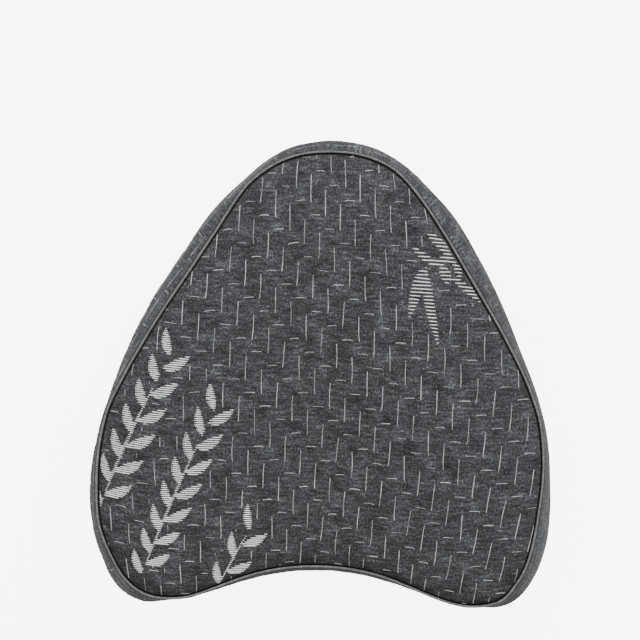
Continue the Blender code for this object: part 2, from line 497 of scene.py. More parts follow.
def set_points(data, points):
    """Write an array of points into a mesh."""
    data.vertices.foreach_set("co", np.asarray(points).ravel())
    data.update()


def puff(cover, held):
    """Press the cover outwards with cloth pressure and keep a capped part of the movement."""
    scene = bpy.context.scene
    start = mesh_points(cover.data)
    sewn = cover.vertex_groups.new(name="sewn")
    sewn.add(held, 1.0, "REPLACE")
    cloth = cover.modifiers.new("foam_pressure", "CLOTH")
    for setting, value in PUFF_SETTINGS.items():
        setattr(cloth.settings, setting, value)
    cloth.settings.effector_weights.gravity = 0.0
    cloth.point_cache.frame_end = PUFF_FRAMES
    for number in range(1, PUFF_FRAMES + 1):
        scene.frame_set(number)
    puffed = cover.evaluated_get(bpy.context.evaluated_depsgraph_get())
    moved = mesh_points(puffed.data) - start
    cover.modifiers.remove(cloth)
    cover.vertex_groups.remove(sewn)
    scene.frame_set(1)
    far = np.linalg.norm(moved, axis=1, keepdims=True)
    share = np.tanh(far / PUFF_CAP) * PUFF_CAP / np.maximum(far, 1e-9)
    set_points(cover.data, start + moved * share)
    return float(far.max())


farthest = puff(cover, held_points)
print("the foam pressed the cover out by up to", round(farthest * 1000, 1), "mm")

# %% [markdown]
# ## Unevenness, puckers and the flat underside
# A seam gathers its cloth slightly, so short puckers run out from it and fade within a
# centimetre or so, and cut foam is a little lumpy. Both are moves along the mesh's own normals,
# from smooth noise that is the same on every run. At last the underside is pressed flat.

# %% Subdivide, pucker and settle
PUCKER_DEPTH = 0.00045
PUCKER_PITCH = 0.0085
PUCKER_REACH = 0.0075
LUMP_DEPTH = 0.0008
LUMP_PITCH = 0.055
UNDERSIDE_HEIGHT = 0.0003
PUCKERS_START_AT = 0.0012
PUCKERS_RISE_IN = 0.0020
LUMPS_RISE_IN = 0.0120
PUCKER_SIDE_STEP = 7.3
LUMP_START = (3.1, 0.7)


def refine(cover, levels):
    """Apply Subdivision Surface to the cover."""
    smooth = cover.modifiers.new("smooth", "SUBSURF")
    smooth.levels = smooth.render_levels = levels
    evaluated = cover.evaluated_get(bpy.context.evaluated_depsgraph_get())
    rough = cover.data
    cover.data = bpy.data.meshes.new_from_object(evaluated)
    cover.modifiers.remove(smooth)
    bpy.data.meshes.remove(rough)
    cover.data.name = "pillow_cover"


def unevenness(own):
    """Give how far points of the cover in the pillow's frame move along their normals."""
    heights = np.abs(own[:, 2])
    levels = seam_level(own[:, 0], own[:, 1])
    gaps, runs = nearest_on_seam(own)
    gaps = np.where(heights < levels, levels - heights, gaps)
    sides = np.where(own[:, 2] > 0, 1.0, -1.0)
    ring = circle_at(runs) * (SEAM_LENGTH / (2.0 * math.pi) / PUCKER_PITCH)
    pucker_spots = np.column_stack([ring, sides * PUCKER_SIDE_STEP])
    lump_starts = np.column_stack([np.tile(LUMP_START, (len(own), 1)), sides])
    puckers = np.array([noise.noise(spot) for spot in pucker_spots]) * PUCKER_DEPTH
    lumps = np.array([noise.noise(spot) for spot in own / LUMP_PITCH + lump_starts]) * LUMP_DEPTH
    away_from_fold = np.clip((gaps - PUCKERS_START_AT) / PUCKERS_RISE_IN, 0.0, 1.0)
    puckers = puckers * np.exp(-gaps / PUCKER_REACH) * away_from_fold
    return puckers + lumps * np.minimum(1.0, gaps / LUMPS_RISE_IN)


def make_uneven(cover):
    """Move the cover's points by puckers and lumps, then press the underside flat."""
    data = cover.data
    places = mesh_points(data)
    normals = read_array(data.vertices, "normal", 3).reshape(-1, 3)
    moves = unevenness(own_frame(places))
    places = places + normals * moves[:, None]
    places[:, 2] = np.maximum(places[:, 2], UNDERSIDE_HEIGHT)
    set_points(data, places)
    return float(np.abs(moves).max())


refine(cover, 1)
print("largest pucker or lump in mm:", round(make_uneven(cover) * 1000, 2))
cover.data.shade_smooth()
print("cover now has", len(cover.data.polygons), "faces")

# %% [markdown]
# ## The grain of the cloth
# Knitted cloth has a grain: columns of stitches along its length and rows across it. So the mesh
# gets a map whose numbers are distances along the cloth. On the faces the columns run towards
# the pointed end, but the cover was pulled on by hand, so they lean and spread a little. Each
# named bend says how much cloth more or less there is at 100 mm from the face's middle: slack
# is more cloth than face and stretch is less. A take-up is cloth that rolls into the seam. On
# the boxing the columns run along the strip.

# %% Map the cloth's grain in units of 100 mm
GRAIN_UNIT = 0.1
BEND_REACH = 0.1
CLOTH_ASIDE = -0.0010
SLACK_ACROSS = 0.0035
SLACK_ACROSS_ENDS = 0.0080
STRETCH_AT_SIDES = 0.0045
COLUMN_BOW = 0.0015
COLUMN_CLOSING = 0.0010
STRETCH_ALONG = 0.0030
STRETCH_AT_ENDS = 0.0020
ROW_RISE = 0.0050
ROW_FALL_AT_SIDES = 0.0045
ROW_SLANT_AT_ENDS = 0.0030
EDGE_TAKE_UP = 0.0017
EDGE_TAKE_UP_REACH = 0.0030
PLAN_ROUNDS = 7
PLAN_STEP = 0.85


def grain_of(plan):
    """Give the cloth's own coordinates at plan points: across and along its stitch columns."""
    gaps, runs = nearest_on_seam(plan)
    take_up = outward_at(runs) * (EDGE_TAKE_UP * np.exp(-gaps / EDGE_TAKE_UP_REACH))[:, None]
    u, v = plan.T / BEND_REACH
    slack = SLACK_ACROSS + SLACK_ACROSS_ENDS * v**2 - STRETCH_AT_SIDES * u**2
    bow = COLUMN_BOW * v**2 - COLUMN_CLOSING * u * v
    stretch = STRETCH_ALONG * v + STRETCH_AT_ENDS * v**4
    rise = ROW_RISE * u**2 - ROW_FALL_AT_SIDES * u**4 - ROW_SLANT_AT_ENDS * u * v**3
    bends = np.column_stack([CLOTH_ASIDE + u * slack + bow, rise - stretch])
    return plan + take_up + bends


def plan_of(cloth):
    """Find the plan points that have the given cloth coordinates."""
    plan = cloth
    for _ in range(PLAN_ROUNDS):
        plan = plan + (cloth - grain_of(plan)) * PLAN_STEP
    return plan


def map_grain(cover):
    """Write the grain map of the whole cover."""
    data = cover.data
    own = own_frame(mesh_points(data))
    runs = nearest_on_seam(own)[1]
    corners = read_array(data.loops, "vertex_index", kind=int).reshape(-1, 4)
    cloth = grain_of(own[:, :2])[corners]
    on_strip = read_array(data.polygons, "material_index", kind=int) == BOXING
    strip_runs = runs[corners[on_strip]]
    wraps = np.ptp(strip_runs, axis=1, keepdims=True) > SEAM_LENGTH / 2.0
    strip_runs += SEAM_LENGTH * (wraps & (strip_runs < SEAM_LENGTH / 2.0))
    cloth[on_strip] = np.stack([own[corners[on_strip]][:, :, 2], strip_runs], axis=-1)
    values = cloth / GRAIN_UNIT
    data.uv_layers.new(name="grain").uv.foreach_set("vector", values.ravel())
    return values


grain_values = map_grain(cover)
print("grain map spans", grain_values.min().round(2), "to", grain_values.max().round(2))

# %% [markdown]
# ## Colours and material helpers
# Colours are the hex values that a screen shows, turned to linear light by one function. Small
# helpers add a node with its settings and links and set a node's own sockets.

# %% Helpers for colours and nodes
def linear(hex_colour):
    """Turn an sRGB hex colour into linear red, green, blue and alpha."""
    channels = []
    for start in (1, 3, 5):
        value = int(hex_colour[start:start + 2], 16) / 255.0
        low = value / 12.92
        high = ((value + 0.055) / 1.055) ** 2.4
        channels.append(low if value <= 0.04045 else high)
    return (*channels, 1.0)


def set_sockets(node, values):
    """Set values on a node's own sockets."""
    for socket, value in dict(values).items():
        node.inputs[socket].default_value = value


def add_node(tree, kind, settings=(), values=(), links=()):
    """Add a node and give it its settings, socket values and links."""
    made = tree.nodes.new(kind)
    for name, value in dict(settings).items():
        setattr(made, name, value)
    set_sockets(made, values)
    for socket, source in dict(links).items():
        tree.links.new(source, made.inputs[socket])
    return made


def new_material(name):
    """Start a material with only its Principled shader and output."""
    material = bpy.data.materials.new(name)
    material.use_nodes = True
    tree = material.node_tree
    shader = tree.nodes["Principled BSDF"]
    return material, tree, shader


def colour_and_relief(tree, shader, mixed, stops, height, depth):
    """Colour a cloth by its mixed noise and raise its relief by a height."""
    ramp = add_node(tree, "ShaderNodeValToRGB", links={"Fac": mixed})
    elements = ramp.color_ramp.elements
    while len(elements) < len(stops):
        elements.new(0.5)
    for element, (position, colour) in zip(elements, stops):
        element.position = position
        element.color = linear(colour)
    bump = add_node(
        tree, "ShaderNodeBump", values={"Strength": 0.5, "Distance": depth},
        links={"Height": height},
    )
    tree.links.new(ramp.outputs["Color"], shader.inputs["Base Color"])
    tree.links.new(bump.outputs["Normal"], shader.inputs["Normal"])


# %% [markdown]
# ## Charcoal heathered jersey
# Heather means that fibres of unlike greys were mixed before spinning. In a jersey the lighter
# and darker lengths lie along the rows, so the eye sees fine level streaks about a millimetre
# high and a few millimetres long. Knit cotton and polyester have no gloss, only a soft sheen
# from their fibre ends at a glancing angle. The boxing strip has a stronger sheen and a paler
# copy of the jersey's colours, which is painted light. The cloth in the folds beside the piping
# is painted darker, which is painted shade.

# %% Make the jersey
MM_PER_UNIT = GRAIN_UNIT * 1000.0
STREAK_MM = (6.5, 1.3)
FLECK_MM = (1.0, 1.1)
BLOTCH_MM = (13.0, 8.0)
LAYER_SHARES = (0.55, 0.2)
STITCH_MM = (1.15, 0.95)
STITCH_DEPTH = 0.0005
RIBS_PER_WAVE_UNIT = 20.0 / (2.0 * math.pi)
JERSEY_STOPS = ((0.32, "#181919"), (0.44, "#2b2b2d"), (0.56, "#414244"), (0.71, "#6d6f71"))
# The boxing strip's colours: a paler copy of the jersey's, painted light.
STRIP_PAINTED_LIGHT_STOPS = ((0.32, "#1b1c1d"), (0.44, "#323335"), (0.56, "#4c4d4f"), (0.71, "#7e8183"))
# The seam fold's colours: darker than the jersey's, painted shade.
FOLD_PAINTED_SHADE_STOPS = ((0.3, "#161617"), (0.5, "#242425"), (0.7, "#373839"))


def knit_material(name, stops, sheen, sheen_roughness=0.25):
    """Make a heathered knit: streaks and flecks in its colour, stitches in its relief."""
    material, tree, shader = new_material(name)
    grain = add_node(tree, "ShaderNodeUVMap", {"uv_map": "grain"}).outputs["UV"]
    noises = []
    for size_mm, detail, roughness in (
        (STREAK_MM, 3.0, 0.6), (FLECK_MM, 2.0, 0.55), (BLOTCH_MM, 2.0, 0.5)
    ):
        scale = (MM_PER_UNIT / size_mm[0], MM_PER_UNIT / size_mm[1], 1.0)
        place = add_node(
            tree, "ShaderNodeMapping", values={"Scale": scale}, links={"Vector": grain}
        ).outputs["Vector"]
        noises.append(add_node(
            tree, "ShaderNodeTexNoise", {"noise_dimensions": "2D"},
            {"Scale": 1.0, "Detail": detail, "Roughness": roughness}, {"Vector": place},
        ).outputs["Fac"])
    mixed, *others = noises
    for share, other in zip(LAYER_SHARES, others):
        mixed = add_node(
            tree, "ShaderNodeMix", {"data_type": "FLOAT"}, {0: share}, {2: mixed, 3: other}
        ).outputs[0]
    ribs = []
    for direction, size_mm in zip("XY", STITCH_MM):
        ribs.append(add_node(
            tree, "ShaderNodeTexWave", {"wave_type": "BANDS", "bands_direction": direction},
            {"Scale": MM_PER_UNIT / size_mm / RIBS_PER_WAVE_UNIT, "Distortion": 0.6, "Detail": 1.0},
            {"Vector": grain},
        ).outputs["Fac"])
    stitches = add_node(
        tree, "ShaderNodeMath", {"operation": "MULTIPLY"}, links={0: ribs[0], 1: ribs[1]}
    ).outputs["Value"]
    relief = add_node(
        tree, "ShaderNodeMix", {"data_type": "FLOAT"}, {0: 0.6}, {2: stitches, 3: mixed}
    ).outputs[0]
    colour_and_relief(tree, shader, mixed, stops, relief, STITCH_DEPTH)
    set_sockets(shader, {
        "Roughness": 0.93, "Specular IOR Level": 0.2, "Sheen Weight": sheen,
        "Sheen Roughness": sheen_roughness, "Sheen Tint": linear("#c9ccd0"),
    })
    return material


jersey = knit_material("charcoal_heathered_jersey", JERSEY_STOPS, 0.16)
# The boxing strip's material: paler colours that are painted light, and a stronger sheen.
strip_painted_light_jersey = knit_material("charcoal_jersey_with_painted_light", STRIP_PAINTED_LIGHT_STOPS, 0.26, 0.35)
# The seam fold's material: its darker colours are painted shade.
fold_painted_shade_jersey = knit_material("jersey_with_painted_fold_shade", FOLD_PAINTED_SHADE_STOPS, 0.0)
for cloth in (jersey, strip_painted_light_jersey, jersey, fold_painted_shade_jersey):
    cover.data.materials.append(cloth)
print("jersey streaks in mm:", STREAK_MM, "stitch in mm:", STITCH_MM)

# %% [markdown]
# ## Corded piping
# Piping is a strip of plain knit folded round a thin cord, one closed loop in each seam. A curve
# with a round bevel would do, but a mesh tube can carry its own map for the cloth's slanting
# grain, and its thickness can vary a little, as a hand-fed cord's does.

# %% Make the two pipings
PIPING_STOPS = ((0.3, "#4a4b4c"), (0.5, "#656667"), (0.7, "#898a8c"))
PIPING_STATIONS = 704
PIPING_SIDES = 12
PIPING_WOBBLE = 0.00006
WOBBLE_RING = 26.0
FRONT_WOBBLE_SEED = 4.0
BACK_WOBBLE_SEED = 11.0
BIAS_SLOPE = 0.8


def rings_round(path, aside, upward, half_width, half_height, angles):
    """Give rings of points round a path, with a half width and a half height at each."""
    across = half_width[:, None, None] * np.cos(angles)[None, :, None] * aside[:, None]
    above = half_height[:, None, None] * np.sin(angles)[None, :, None] * upward[:, None]
    return path[:, None] + across + above


def tube_corners(lengths, sides):
    """List the ring and the side of every face corner of a tube, not yet wrapped round."""
    rings, around = np.indices((lengths, sides)).reshape(2, -1)
    corner_rings = np.column_stack([rings, rings, rings + 1, rings + 1])
    return corner_rings, np.column_stack([around, around + 1, around + 1, around])


def tube_mesh(name, path, outward, radius):
    """Build a closed tube round a loop, with a grain map that slants along it."""
    count = len(path)
    ahead = unit(np.roll(path, -1, axis=0) - np.roll(path, 1, axis=0))
    upward = unit(np.cross(ahead, outward))
    angles = np.arange(PIPING_SIDES) * 2.0 * math.pi / PIPING_SIDES
    rings = rings_round(path, np.cross(upward, ahead), upward, radius, radius, angles)
    corner_rings, corner_sides = tube_corners(count, PIPING_SIDES)
    faces = corner_rings % count * PIPING_SIDES + corner_sides % PIPING_SIDES
    run = corner_rings * (SEAM_LENGTH / count)
    girth = corner_sides * (2.0 * math.pi * CORD_RADIUS / PIPING_SIDES)
    grains = np.stack([girth - BIAS_SLOPE * run, run + BIAS_SLOPE * girth], axis=-1)
    points = rings.reshape(-1, 3).tolist()
    data = closed_mesh(name, points, faces.tolist(), grains / GRAIN_UNIT)
    data.shade_smooth()
    return data


def add_piping(name, side, seed):
    """Add one piping, in the front seam for side 1 or in the back seam for side -1."""
    runs = np.arange(PIPING_STATIONS) * SEAM_LENGTH / PIPING_STATIONS
    plan = seam_at(runs)[:, :2]
    path = np.column_stack([plan, seam_level(plan[:, 0], plan[:, 1]) * side])
    outward = np.column_stack([outward_at(runs), np.zeros(len(runs))])
    wobble = [noise.noise((*spot, seed)) for spot in circle_at(runs) * WOBBLE_RING]
    radius = CORD_RADIUS + np.array(wobble) * PIPING_WOBBLE
    data = tube_mesh(name, lying(path), outward @ TURN.T, radius)
    data.materials.append(piping_knit)
    return add_to_scene(name, data)


piping_knit = knit_material("grey_bias_cut_knit", PIPING_STOPS, 0.12)
front_piping = add_piping("front_piping_cord", 1.0, FRONT_WOBBLE_SEED)
back_piping = add_piping("back_piping_cord", -1.0, BACK_WOBBLE_SEED)
print("piping diameter in mm:", CORD_RADIUS * 2000.0)

# %% [markdown]
# ## Yarn that floats over the knit
# The pattern is not printed. A second, lighter yarn runs hidden behind the jersey and comes up
# to float over it for a few stitches: one long upright float and one short level float in each
# repeat. They are modelled as thin flattened yarns whose ends dive back into the cloth.

# %% A store for many yarns in one mesh
YARN_SIDES = 6
BEAD_PITCH = 0.00125
BEAD_DEPTH = 0.28
FLOAT_TAPER = 0.0008
END_WIDTH_SHARE = 0.30
DIVE_REACH = 0.0006
LIFT_SHARE = 0.35
DIVE_SHARE = 0.95


class YarnStore:
    """Collects short yarns that become one joined mesh."""

    def __init__(self):
        self.points, self.faces, self.count = [], [], 0

    def add(self, path, normals, width, height, taper):
        """Add one flattened yarn on the surface, pinched at each stitch and sunk at its ends."""
        steps = len(path)
        ahead = np.gradient(path, axis=0)
        lengths = np.linalg.norm(ahead, axis=1)
        ahead /= lengths[:, None]
        aside = unit(np.cross(ahead, normals))
        run = np.cumsum(lengths) - lengths[0]
        from_end = np.minimum(run, run[-1] - run)
        body = np.clip(END_WIDTH_SHARE + (1.0 - END_WIDTH_SHARE) * from_end / taper, 0.0, 1.0)
        body = body * (1.0 - BEAD_DEPTH * (1.0 + np.cos(run / BEAD_PITCH * 2.0 * math.pi)))
        dive = np.clip(1.0 - from_end / DIVE_REACH, 0.0, 1.0)
        lift = height * (LIFT_SHARE - DIVE_SHARE * dive)
        angles = (np.arange(YARN_SIDES) + 0.5) * 2.0 * math.pi / YARN_SIDES
        centre = path + lift[:, None] * normals
        wide, high = width / 2.0 * body, height / 2.0 * body
        rings = rings_round(centre, aside, normals, wide, high, angles)
        rings[..., 2] = np.maximum(rings[..., 2], 0.0)
        start = len(self.points)
        self.points.extend(rings.reshape(-1, 3).tolist())
        corner_rings, corner_sides = tube_corners(steps - 1, YARN_SIDES)
        corners = start + corner_rings * YARN_SIDES + corner_sides % YARN_SIDES
        first_end = start + np.arange(YARN_SIDES)
        last_end = first_end[::-1] + (steps - 1) * YARN_SIDES
        self.faces.extend([*corners.tolist(), first_end.tolist(), last_end.tolist()])
        self.count += 1

    def build(self, name, material):
        """Make the joined mesh object."""
        data = closed_mesh(name, self.points, self.faces)
        data.shade_smooth()
        data.materials.append(material)
        return add_to_scene(name, data)


# %% [markdown]
# ## Finding the surface under a yarn
# The pattern is known on the flat cloth. To lay a yarn, rays are shot at the finished cover:
# down on to the front face, up on to the back face and inwards on to the boxing.

# %% Shoot rays at the cover
RAY_START = 0.12
BOXING_RAY_START = 0.03
surface = BVHTree.FromObject(cover, bpy.context.evaluated_depsgraph_get())


def on_face(cloth, side):
    """Lay cloth points on the front face, side 1, or the back face, side -1."""
    starts = lying(np.column_stack([plan_of(cloth), np.full(len(cloth), side * RAY_START)]))
    return shoot(starts, np.tile(np.array([0.0, 0.0, -side]) @ TURN.T, (len(starts), 1)))


def on_front(cloth):
    """Lay cloth points on the front face."""
    return on_face(cloth, 1.0)


def on_back(cloth):
    """Lay cloth points on the back face."""
    return on_face(cloth, -1.0)


def on_boxing(cloth):
    """Lay cloth points of the boxing strip on its surface."""
    outward = outward_at(cloth[:, 1])
    plan = seam_at(cloth[:, 1])[:, :2] + outward * BOXING_RAY_START
    ways = -np.column_stack([outward, np.zeros(len(cloth))]) @ TURN.T
    return shoot(lying(np.column_stack([plan, cloth[:, 0]])), ways)


def shoot(starts, ways):
    """Give where rays meet the cover and the normals there, or None if one misses."""
    places, normals = [], []
    for start, way in zip(map(Vector, starts), map(Vector, ways)):
        place, normal, _, _ = surface.ray_cast(start, way)
        if place is None:
            return None, None
        places.append(place)
        normals.append(normal if normal.dot(way) < 0 else -normal)
    return np.array(places), np.array(normals)


# %% [markdown]
# ## White leaves
# On the right of the face a spray of bamboo leaves is knitted in white rows, 1.8 mm apart. At
# the lower left the same white yarn makes three leafy twigs up the slant, in rows 1.1 mm apart.
# A leaf here is a lens shape between two points, bent a little to one side, and each
# row is cut where it enters and leaves the lens. A twig is one very thin leaf with broad
# leaves set along it by turns.

# %% Chart the leaves, in millimetres on the flat cloth
Leaf = namedtuple("Leaf", "from_across from_along to_across to_along width bend")
RIGHT_SPRAY = (
    Leaf(56.5, 76.5, 71.5, 61.5, 6.5, 2.0),
    Leaf(47.5, 69.5, 64.0, 59.5, 4.5, -0.5),
    Leaf(73.0, 66.0, 55.5, 60.0, 4.5, 0.0),
    Leaf(63.5, 61.0, 67.0, 50.5, 7.0, 1.0),
    Leaf(70.5, 64.0, 73.5, 52.0, 5.5, 1.5),
    Leaf(69.0, 54.5, 95.0, 37.5, 5.5, 0.5),
    Leaf(53.0, 59.5, 45.0, 32.0, 7.0, 0.0),
    Leaf(55.0, 60.5, 62.0, 18.0, 6.5, -1.5),
)
TWIG_STEM_MM = 2.0
TWIG_LEAF_MM = (16.5, 5.8)
TWIG_LEAF_ANGLES = (math.radians(34.0), math.radians(-38.0))
TWIG_LEAF_BEND_MM = 0.8
TWIG_FIRST_LEAF = 0.4
TWIG_LONGEST_LEAF = 1.05
TWIG_LONGEST_AT = 0.45
TWIG_SHORTENING = 0.2
TWIG_STARTS_ENDS = (
    ((-124.0, -78.0), (-84.0, 14.0), 7),
    ((-106.0, -114.0), (-60.0, -14.0), 8),
    ((-62.0, -119.0), (-39.0, -78.0), 3),
)


def twig(start, end, pairs):
    """List a twig's stem and its leaves, set by turns on its two sides."""
    start, end = np.array(start), np.array(end)
    heading = math.atan2(*(end - start)[::-1])
    leaves = [Leaf(*start, *end, TWIG_STEM_MM, 1.0)]
    length, width = TWIG_LEAF_MM
    for number in range(pairs * 2 - 1):
        share = (number + TWIG_FIRST_LEAF) / (pairs * 2 - 1)
        root = start + (end - start) * share
        side = number % 2
        turn = heading + TWIG_LEAF_ANGLES[side]
        size = length * (TWIG_LONGEST_LEAF - TWIG_SHORTENING * abs(share - TWIG_LONGEST_AT))
        tip = root + size * np.array([math.cos(turn), math.sin(turn)])
        leaves.append(Leaf(*root, *tip, width, TWIG_LEAF_BEND_MM * (1 - 2 * side)))
    return leaves


LEFT_TWIGS = [leaf for row in TWIG_STARTS_ENDS for leaf in twig(*row)]
RIGHT_ROW_MM = 1.82
FIRST_ROW_MM = 1.12
LEAF_ROOM_MM = (6.0, 4.0)
ROW_CUT_MM = 0.25
LEFT_ROW_MM = 1.1
WHITE_ROW_WIDTH = 0.00082
FINE_ROW_WIDTH = 0.00092
ROW_HEIGHT = 0.00045
SHORTEST_ROW_MM = 1.0
LEAF_FULL_EARLY = 0.85
LEAF_ROUNDNESS = 0.75


def leaf_half_width(leaf, share):
    """Give half of a leaf's width at a share of its length: fullest before the middle."""
    turn = np.pi * np.clip(share, 0.0, 1.0) ** LEAF_FULL_EARLY
    return leaf.width / 2.0 * np.sin(turn) ** LEAF_ROUNDNESS


def inside_leaf(leaf, across_mm, along_mm, margin=0.0):
    """Say for arrays of points whether they lie in a leaf, or within a margin of it."""
    run = np.array([leaf.to_across - leaf.from_across, leaf.to_along - leaf.from_along])
    length = np.hypot(*run)
    run = run / length
    away = np.stack([across_mm - leaf.from_across, along_mm - leaf.from_along], axis=-1)
    along_leaf = away @ run
    beside_leaf = away @ np.array([-run[1], run[0]])
    share = along_leaf / length
    middle = leaf.bend * np.sin(np.pi * np.clip(share, 0.0, 1.0))
    near_ends = (along_leaf > -margin) & (along_leaf < length + margin)
    return near_ends & (np.abs(beside_leaf - middle) < leaf_half_width(leaf, share) + margin)


def stretches(keep):
    """List the start and the end of every stretch of true values."""
    edges = np.flatnonzero(np.diff(np.concatenate([[0], keep.astype(int), [0]])))
    return list(zip(edges[::2], edges[1::2]))


def leaf_rows(leaves, pitch_mm):
    """Cut level rows to the leaves and give each as its ends and its height on the face."""
    ends = np.array([leaf[:4] for leaf in leaves]).reshape(-1, 2)
    left, low = ends.min(axis=0) - LEAF_ROOM_MM
    right, high = ends.max(axis=0) + LEAF_ROOM_MM
    fine = np.arange(left, right, ROW_CUT_MM)
    rows = []
    first_row = math.ceil(low / pitch_mm) * pitch_mm + FIRST_ROW_MM
    for along_mm in np.arange(first_row, high, pitch_mm):
        covered = np.zeros(len(fine), bool)
        for leaf in leaves:
            covered |= inside_leaf(leaf, fine, np.full(len(fine), along_mm))
        for first, last in stretches(covered):
            if fine[last - 1] - fine[first] > SHORTEST_ROW_MM:
                rows.append((fine[first], fine[last - 1], along_mm))
    return rows


# %% Knit the white rows
EDGE_MARGIN = 0.0015
ROW_STEP_MM = 0.6
ROW_WANDER_MM = 0.22
ROW_TAPER = 0.0016
ROW_SEED = 3
FEWEST_POINTS = 3
FEWEST_ROW_STEPS = 5


def inside_face(cloth):
    """Say which cloth points lie on the face, clear of its seam."""
    plan = plan_of(cloth)
    gaps, runs = nearest_on_seam(plan)
    beyond = np.sum((plan - seam_at(runs)[:, :2]) * outward_at(runs), axis=1)
    return (beyond <= 0.0) & (gaps > EDGE_MARGIN)


def lay_yarn(store, shoot_at, cloth, keep, width, height, taper=FLOAT_TAPER):
    """Lay the longest stretch of a yarn's path that may be kept on the surface."""
    spans = [(last - first, first, last) for first, last in stretches(keep)]
    count, first, last = max(spans, default=(0, 0, 0))
    if count >= FEWEST_POINTS:
        places, normals = shoot_at(cloth[first:last])
        if places is not None:
            store.add(places, normals, width, height, taper)


def knit_rows(store, rows, width):
    """Lay white rows on the front face, cut short where they would reach its seam."""
    rng = np.random.default_rng(ROW_SEED)
    for left_mm, right_mm, along_mm in rows:
        steps = max(FEWEST_ROW_STEPS, int((right_mm - left_mm) / ROW_STEP_MM) + 2)
        share = np.linspace(-0.5, 0.5, steps)
        lean = ROW_WANDER_MM * (rng.normal(-0.5, 1.0) * share + rng.normal() * share**2)
        across_mm = np.linspace(left_mm, right_mm, steps)
        cloth = np.column_stack([across_mm, along_mm + lean]) / 1000.0
        lay_yarn(store, on_front, cloth, inside_face(cloth), width, ROW_HEIGHT, ROW_TAPER)


YARN_WHITE_STOPS = ((0.3, "#cfd2d6"), (0.5, "#e6e8ea"), (0.75, "#f6f7f7"))
YARN_GREY_STOPS = ((0.35, "#6b6d6f"), (0.5, "#97999b"), (0.65, "#bfc1c3"))
YARN_TWIST_MM = 0.9
YARN_FADE_MM = 9.0
FIBRE_DEPTH = 0.0002


def yarn_material(name, stops):
    """Make a soft spun yarn: lighter and darker stretches and fine fibre relief."""
    material, tree, shader = new_material(name)
    place = add_node(tree, "ShaderNodeTexCoord").outputs["Object"]
    fade, fibres = [add_node(
        tree, "ShaderNodeTexNoise", values={"Scale": 1000.0 / size_mm, "Detail": detail},
        links={"Vector": place},
    ).outputs["Fac"] for size_mm, detail in ((YARN_FADE_MM, 1.0), (YARN_TWIST_MM, 2.0))]
    mixed = add_node(
        tree, "ShaderNodeMix", {"data_type": "FLOAT"}, {0: 0.45}, {2: fade, 3: fibres}
    ).outputs[0]
    colour_and_relief(tree, shader, mixed, stops, fibres, FIBRE_DEPTH)
    set_sockets(shader, {"Roughness": 0.85, "Sheen Weight": 0.2, "Specular IOR Level": 0.3})
    return material


white_yarn = yarn_material("white_spun_yarn", YARN_WHITE_STOPS)
grey_yarn = yarn_material("light_grey_spun_yarn", YARN_GREY_STOPS)

right_rows = leaf_rows(RIGHT_SPRAY, RIGHT_ROW_MM)
left_rows = leaf_rows(LEFT_TWIGS, LEFT_ROW_MM)
leaf_store = YarnStore()
knit_rows(leaf_store, right_rows, WHITE_ROW_WIDTH)
knit_rows(leaf_store, left_rows, FINE_ROW_WIDTH)
front_leaves = leaf_store.build("front_leaf_rows", white_yarn)
print("white rows on the front face:", leaf_store.count)

# %% [markdown]
# ## The repeat of long and short floats
# The floats stand on a slanting lattice. Two steps carry one repeat to the next: one to the
# right and down, one down and a little left. Floats stop short of the white leaves.

# %% Lay the floats on both faces
LATTICE_START = np.array([0.0383, 0.0326])
LATTICE_RIGHT = np.array([0.0088, -0.00715])
LATTICE_DOWN = np.array([-0.0033, -0.02135])
LONG_FLOAT = 0.0140
SHORT_FLOAT = 0.0062
SHORT_FLOAT_OFFSET = np.array([-0.0063, -0.0056])
LONG_FLOAT_POINTS = 27
SHORT_FLOAT_POINTS = 12
FLOAT_WIDTH = 0.00064
FLOAT_HEIGHT = 0.00036
FLOAT_DROOP = 0.00045
FLOAT_WANDER = 0.00016
LONG_LENGTHS = (0.94, 1.03)
SHORT_LENGTHS = (0.9, 1.06)
DROOPS = (0.2, 1.5)
WIDTH_SPREAD = 0.12
WIDTHS = (0.7, 1.25)
LEAF_MARGIN_MM = 1.6
LATTICE_REACH = 34
FACE_REACH = 0.15
FLOAT_SEED = 7


def clear_of_leaves(cloth, leaves):
    """Say which cloth points lie away from every leaf."""
    clear = np.ones(len(cloth), bool)
    for leaf in leaves:
        clear &= ~inside_leaf(leaf, cloth[:, 0] * 1000.0, cloth[:, 1] * 1000.0, LEAF_MARGIN_MM)
    return clear


def float_paths(centre, rng):
    """Give the long and the short float of one repeat, as cloth points with their width."""
    share = np.linspace(0.5, -0.5, LONG_FLOAT_POINTS)
    length = LONG_FLOAT * rng.uniform(*LONG_LENGTHS)
    sway = FLOAT_WANDER * (0.6 * rng.normal() * np.cos(share * 5.0) + 2.4 * rng.normal() * share)
    hook = FLOAT_WANDER * rng.normal() * (0.5 - share) ** 8 * 2.0
    long_path = centre + np.column_stack([sway + hook, share * length])
    share = np.linspace(-0.5, 0.5, SHORT_FLOAT_POINTS)
    length = SHORT_FLOAT * rng.uniform(*SHORT_LENGTHS)
    droop = -FLOAT_DROOP * rng.uniform(*DROOPS) * (2.0 * share) ** 4
    tilt = FLOAT_WANDER * rng.normal() * share * 2.0
    short_path = centre + SHORT_FLOAT_OFFSET + np.column_stack([share * length, droop + tilt])
    widths = FLOAT_WIDTH * np.clip(rng.normal(1.0, WIDTH_SPREAD, 2), *WIDTHS)
    return (long_path, widths[0]), (short_path, widths[1])


def lattice_points():
    """List the lattice's places, out to well past the cloth's edges."""
    for right in range(-LATTICE_REACH, LATTICE_REACH + 1):
        for down in range(-LATTICE_REACH, LATTICE_REACH + 1):
            yield LATTICE_START + right * LATTICE_RIGHT + down * LATTICE_DOWN


